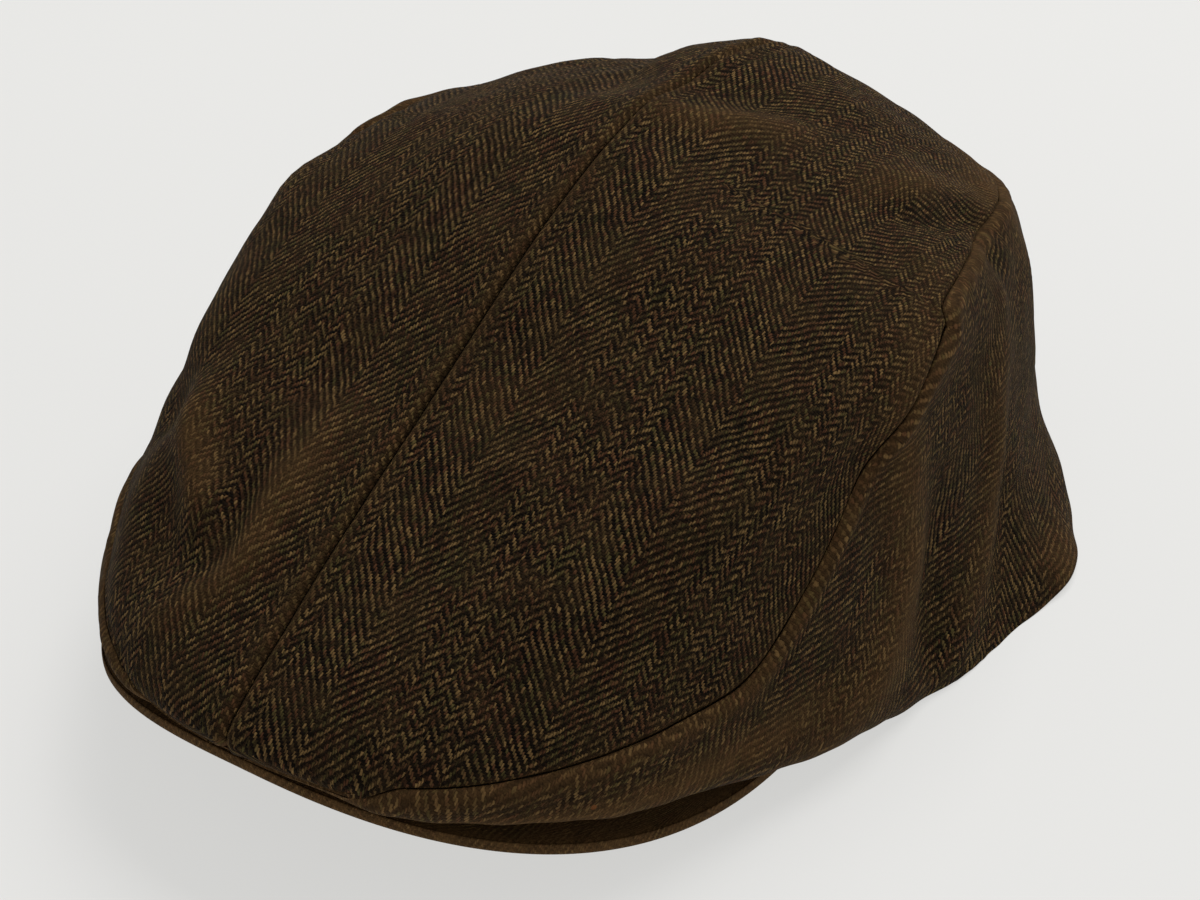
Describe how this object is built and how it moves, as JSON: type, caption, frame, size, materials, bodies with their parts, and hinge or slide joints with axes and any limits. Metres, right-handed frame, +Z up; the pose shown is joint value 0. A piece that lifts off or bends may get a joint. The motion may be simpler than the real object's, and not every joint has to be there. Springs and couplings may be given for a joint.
{
  "type": "flat cap",
  "caption": "Soft flat cap in herringbone wool: two top panels, two side panels, lining, sweatband, and a stiff arched peak held under the crown's lip by a snap.",
  "frame": {"origin": "on the table under the middle of the cap's length and width", "axes": "+Z up, +Y from the peak to the back of the cap, +X to the wearer's left"},
  "size_m": [0.2032, 0.2595, 0.1087],
  "materials": {
    "wool_tweed": "dark olive-brown herringbone wool, matte and slightly fuzzy",
    "lining_cloth": "dark brown satin-weave lining",
    "band_cloth": "dark twill sweatband",
    "tape_cloth": "plain woven stiffening tape",
    "tab_cloth": "blank woven tab",
    "peak_board": "stiff moulded board",
    "snap_metal": "dull nickel"
  },
  "bodies": {
    "crown": {"top_panel_left": "wool_tweed", "top_panel_right": "wool_tweed", "side_panel_left": "wool_tweed", "side_panel_right": "wool_tweed", "top_lining_left": "lining_cloth", "top_lining_right": "lining_cloth", "side_lining_left": "lining_cloth", "side_lining_right": "lining_cloth", "sweatband": "band_cloth", "rim_tape": "tape_cloth", "snap_cap": "snap_metal", "snap_socket": "snap_metal", "size_tab": "tab_cloth"},
    "peak": {"peak_board": "peak_board", "peak_top_cover": "wool_tweed", "peak_under_cover": "wool_tweed", "snap_stud": "snap_metal", "snap_post": "snap_metal"}
  },
  "joints": [
    {"name": "peak_hinge", "type": "hinge", "parent": "crown", "child": "peak", "pos_m": [0, -0.022, 0.004], "axis": [1, 0, 0], "range_deg": [0, 12], "stiffness_Nm_per_rad": 0.4, "springref_deg": -11.46}
  ]
}
